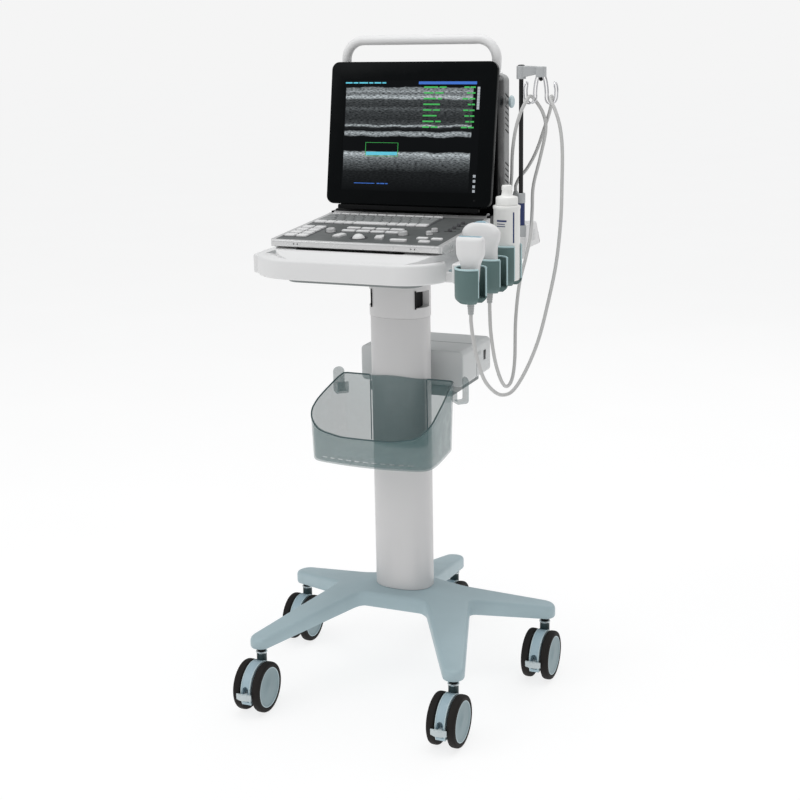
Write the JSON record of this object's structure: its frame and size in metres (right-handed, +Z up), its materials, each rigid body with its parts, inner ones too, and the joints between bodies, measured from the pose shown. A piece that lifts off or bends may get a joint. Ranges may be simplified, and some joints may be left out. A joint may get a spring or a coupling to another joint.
{
  "type": "cart-mounted ultrasound machine",
  "caption": "Portable ultrasound console with folding keyboard and tilting display on a wheeled pedestal trolley with probe holders, hook pole, basket and supply box.",
  "frame": {"origin": "on the floor at the centre of the machine's bounding box without its cords, directly under the column to within a few millimetres", "axes": "+X to the operator's right, +Y away from the operator towards the back of the machine, +Z up"},
  "size_m": [0.6571, 0.6818, 1.3644],
  "materials": {
    "cool_grey_paint": "satin paint",
    "pale_blue_plastic": "fine texture",
    "tyre_black": "matte tread",
    "pedal_grey": "satin",
    "column_grey": "satin paint",
    "tray_white": "satin moulded",
    "holder_teal": "satin moulded",
    "basket_teal": "slightly translucent moulding",
    "box_grey": "fine texture",
    "silver_case": "silver satin",
    "key_white": "satin",
    "control_grey": "satin",
    "gloss_black": "gloss",
    "screen_glass": "gloss display face",
    "unit_grey": "fine texture",
    "rod_black": "gloss",
    "clamp_grey": "satin",
    "chrome_wire": "polished",
    "cord_grey": "matte jacket",
    "gel_bottle_white": "soft gloss",
    "cap_white": "soft gloss",
    "switch_black": "satin"
  },
  "bodies": {
    "trolley": {"base_star": "cool_grey_paint", "column": "column_grey", "column_cover": "column_grey", "basket": "basket_teal", "power_box": "box_grey", "power_box_cradle": "holder_teal", "tray": "tray_white", "tray_underplate": "holder_teal", "probe_cup_front": "holder_teal", "probe_cup_rear": "holder_teal", "bottle_cup": "holder_teal", "unit_front_shell": "gloss_black", "unit_rear_shell": "unit_grey", "carry_handle": "silver_case", "cable_peg": "unit_grey", "rear_module": "tray_white", "pole_socket": "tray_white", "hook_pole": "rod_black", "pole_arm": "clamp_grey", "wire_hook": "chrome_wire", "linear_probe": "tray_white", "convex_probe": "tray_white", "linear_plug": "unit_grey", "convex_plug": "unit_grey", "linear_cord": "cord_grey", "convex_cord": "cord_grey"},
    "swivel_right": {"caster_fork_right": "pale_blue_plastic"},
    "wheels_right": {"caster_wheels_right": "tyre_black"},
    "pedal_right": {"brake_pedal_right": "pedal_grey"},
    "swivel_back": {"caster_fork_back": "pale_blue_plastic"},
    "wheels_back": {"caster_wheels_back": "tyre_black"},
    "pedal_back": {"brake_pedal_back": "pedal_grey"},
    "swivel_left": {"caster_fork_left": "pale_blue_plastic"},
    "wheels_left": {"caster_wheels_left": "tyre_black"},
    "pedal_left": {"brake_pedal_left": "pedal_grey"},
    "swivel_front_left": {"caster_fork_front_left": "pale_blue_plastic"},
    "wheels_front_left": {"caster_wheels_front_left": "tyre_black"},
    "pedal_front_left": {"brake_pedal_front_left": "pedal_grey"},
    "swivel_front_right": {"caster_fork_front_right": "pale_blue_plastic"},
    "wheels_front_right": {"caster_wheels_front_right": "tyre_black"},
    "pedal_front_right": {"brake_pedal_front_right": "pedal_grey"},
    "keyboard": {"keyboard_case": "silver_case", "key_block": "key_white"},
    "display": {"lcd_shell": "gloss_black", "lcd_panel": "screen_glass"},
    "trackball": {"trackball": "key_white"},
    "set_key_left": {"set_key_left": "key_white"},
    "set_key_right": {"set_key_right": "key_white"},
    "freeze_key": {"freeze_key": "key_white"},
    "encoder_left": {"encoder_left": "control_grey"},
    "encoder_right": {"encoder_right": "control_grey"},
    "knob_front": {"knob_front": "control_grey"},
    "knob_rear": {"knob_rear": "control_grey"},
    "gain_slider_1": {"gain_slider_1": "control_grey"},
    "gain_slider_2": {"gain_slider_2": "control_grey"},
    "gain_slider_3": {"gain_slider_3": "control_grey"},
    "gain_slider_4": {"gain_slider_4": "control_grey"},
    "power_switch": {"power_switch": "switch_black"},
    "gel_bottle": {"gel_bottle": "gel_bottle_white"},
    "bottle_cap": {"bottle_cap": "cap_white"}
  },
  "joints": [
    {"name": "caster_swivel_right", "type": "hinge", "parent": "trolley", "child": "swivel_right", "pos_m": [0.28942, 0.11028, 0.1307], "axis": [0, 0, 1], "continuous": true},
    {"name": "wheel_roll_right", "type": "hinge", "parent": "swivel_right", "child": "wheels_right", "pos_m": [0.28942, 0.08528, 0.053], "axis": [1, 0, 0], "continuous": true},
    {"name": "brake_press_right", "type": "hinge", "parent": "swivel_right", "child": "pedal_right", "pos_m": [0.28942, 0.04534, 0.05091], "axis": [1, 0, 0], "range_deg": [0, 12]},
    {"name": "caster_swivel_back", "type": "hinge", "parent": "trolley", "child": "swivel_back", "pos_m": [0, 0.31294, 0.1307], "axis": [0, 0, 1], "continuous": true},
    {"name": "wheel_roll_back", "type": "hinge", "parent": "swivel_back", "child": "wheels_back", "pos_m": [0, 0.28794, 0.053], "axis": [1, 0, 0], "continuous": true},
    {"name": "brake_press_back", "type": "hinge", "parent": "swivel_back", "child": "pedal_back", "pos_m": [0, 0.24799, 0.05091], "axis": [1, 0, 0], "range_deg": [0, 12]},
    {"name": "caster_swivel_left", "type": "hinge", "parent": "trolley", "child": "swivel_left", "pos_m": [-0.28942, 0.11028, 0.1307], "axis": [0, 0, 1], "continuous": true},
    {"name": "wheel_roll_left", "type": "hinge", "parent": "swivel_left", "child": "wheels_left", "pos_m": [-0.28942, 0.08528, 0.053], "axis": [1, 0, 0], "continuous": true},
    {"name": "brake_press_left", "type": "hinge", "parent": "swivel_left", "child": "pedal_left", "pos_m": [-0.28942, 0.04534, 0.05091], "axis": [1, 0, 0], "range_deg": [0, 12]},
    {"name": "caster_swivel_front_left", "type": "hinge", "parent": "trolley", "child": "swivel_front_left", "pos_m": [-0.21533, -0.25168, 0.1307], "axis": [0, 0, 1], "continuous": true},
    {"name": "wheel_roll_front_left", "type": "hinge", "parent": "swivel_front_left", "child": "wheels_front_left", "pos_m": [-0.21533, -0.27669, 0.053], "axis": [1, 0, 0], "continuous": true},
    {"name": "brake_press_front_left", "type": "hinge", "parent": "swivel_front_left", "child": "pedal_front_left", "pos_m": [-0.21533, -0.31663, 0.05091], "axis": [1, 0, 0], "range_deg": [0, 12]},
    {"name": "caster_swivel_front_right", "type": "hinge", "parent": "trolley", "child": "swivel_front_right", "pos_m": [0.21533, -0.25168, 0.1307], "axis": [0, 0, 1], "continuous": true},
    {"name": "wheel_roll_front_right", "type": "hinge", "parent": "swivel_front_right", "child": "wheels_front_right", "pos_m": [0.21533, -0.27669, 0.053], "axis": [1, 0, 0], "continuous": true},
    {"name": "brake_press_front_right", "type": "hinge", "parent": "swivel_front_right", "child": "pedal_front_right", "pos_m": [0.21533, -0.31663, 0.05091], "axis": [1, 0, 0], "range_deg": [0, 12]},
    {"name": "keyboard_fold", "type": "hinge", "parent": "trolley", "child": "keyboard", "pos_m": [0, 0.08194, 0.992], "axis": [-1, 0, 0], "range_deg": [0, 86.1]},
    {"name": "display_tilt", "type": "hinge", "parent": "trolley", "child": "display", "pos_m": [0, 0.1164, 1.283], "axis": [1, 0, 0], "range_deg": [0, 9.8]},
    {"name": "trackball_roll", "type": "hinge", "parent": "keyboard", "child": "trackball", "pos_m": [-0.008, -0.16417, 0.98047], "axis": [1, 0, 0], "continuous": true},
    {"name": "set_key_left_press", "type": "slide", "parent": "keyboard", "child": "set_key_left", "axis": [0, 0.068, -0.9977], "range_m": [0, 0.0012], "stiffness_N_per_m": 400},
    {"name": "set_key_right_press", "type": "slide", "parent": "keyboard", "child": "set_key_right", "axis": [0, 0.068, -0.9977], "range_m": [0, 0.0012], "stiffness_N_per_m": 400},
    {"name": "freeze_key_press", "type": "slide", "parent": "keyboard", "child": "freeze_key", "axis": [0, 0.068, -0.9977], "range_m": [0, 0.0012], "stiffness_N_per_m": 400},
    {"name": "encoder_left_turn", "type": "hinge", "parent": "keyboard", "child": "encoder_left", "pos_m": [-0.089, -0.11958, 0.98802], "axis": [0, -0.068, 0.9977], "continuous": true},
    {"name": "encoder_right_turn", "type": "hinge", "parent": "keyboard", "child": "encoder_right", "pos_m": [0.067, -0.11958, 0.98802], "axis": [0, -0.068, 0.9977], "continuous": true},
    {"name": "knob_front_turn", "type": "hinge", "parent": "keyboard", "child": "knob_front", "pos_m": [0.118, -0.10861, 0.98877], "axis": [0, -0.068, 0.9977], "continuous": true},
    {"name": "knob_rear_turn", "type": "hinge", "parent": "keyboard", "child": "knob_rear", "pos_m": [0.118, -0.08067, 0.99067], "axis": [0, -0.068, 0.9977], "continuous": true},
    {"name": "gain_slider_1_travel", "type": "slide", "parent": "keyboard", "child": "gain_slider_1", "axis": [1, 0, 0], "range_m": [-0.009, 0.009]},
    {"name": "gain_slider_2_travel", "type": "slide", "parent": "keyboard", "child": "gain_slider_2", "axis": [1, 0, 0], "range_m": [-0.009, 0.009]},
    {"name": "gain_slider_3_travel", "type": "slide", "parent": "keyboard", "child": "gain_slider_3", "axis": [1, 0, 0], "range_m": [-0.009, 0.009]},
    {"name": "gain_slider_4_travel", "type": "slide", "parent": "keyboard", "child": "gain_slider_4", "axis": [1, 0, 0], "range_m": [-0.009, 0.009]},
    {"name": "power_switch_rock", "type": "hinge", "parent": "trolley", "child": "power_switch", "pos_m": [0.1158, 0.20394, 0.683], "axis": [0, -1, 0], "range_deg": [0, 12]},
    {"name": "gel_bottle_lift", "type": "slide", "parent": "trolley", "child": "gel_bottle", "axis": [0, 0, 1], "range_m": [0, 0.085]},
    {"name": "bottle_cap_turn", "type": "hinge", "parent": "gel_bottle", "child": "bottle_cap", "pos_m": [0.25, -0.03006, 1.0423], "axis": [0, 0, 1], "continuous": true}
  ],
  "couplings": [
    {"joint": "display_tilt", "follows": "keyboard_fold", "ratio": 0.1138}
  ]
}
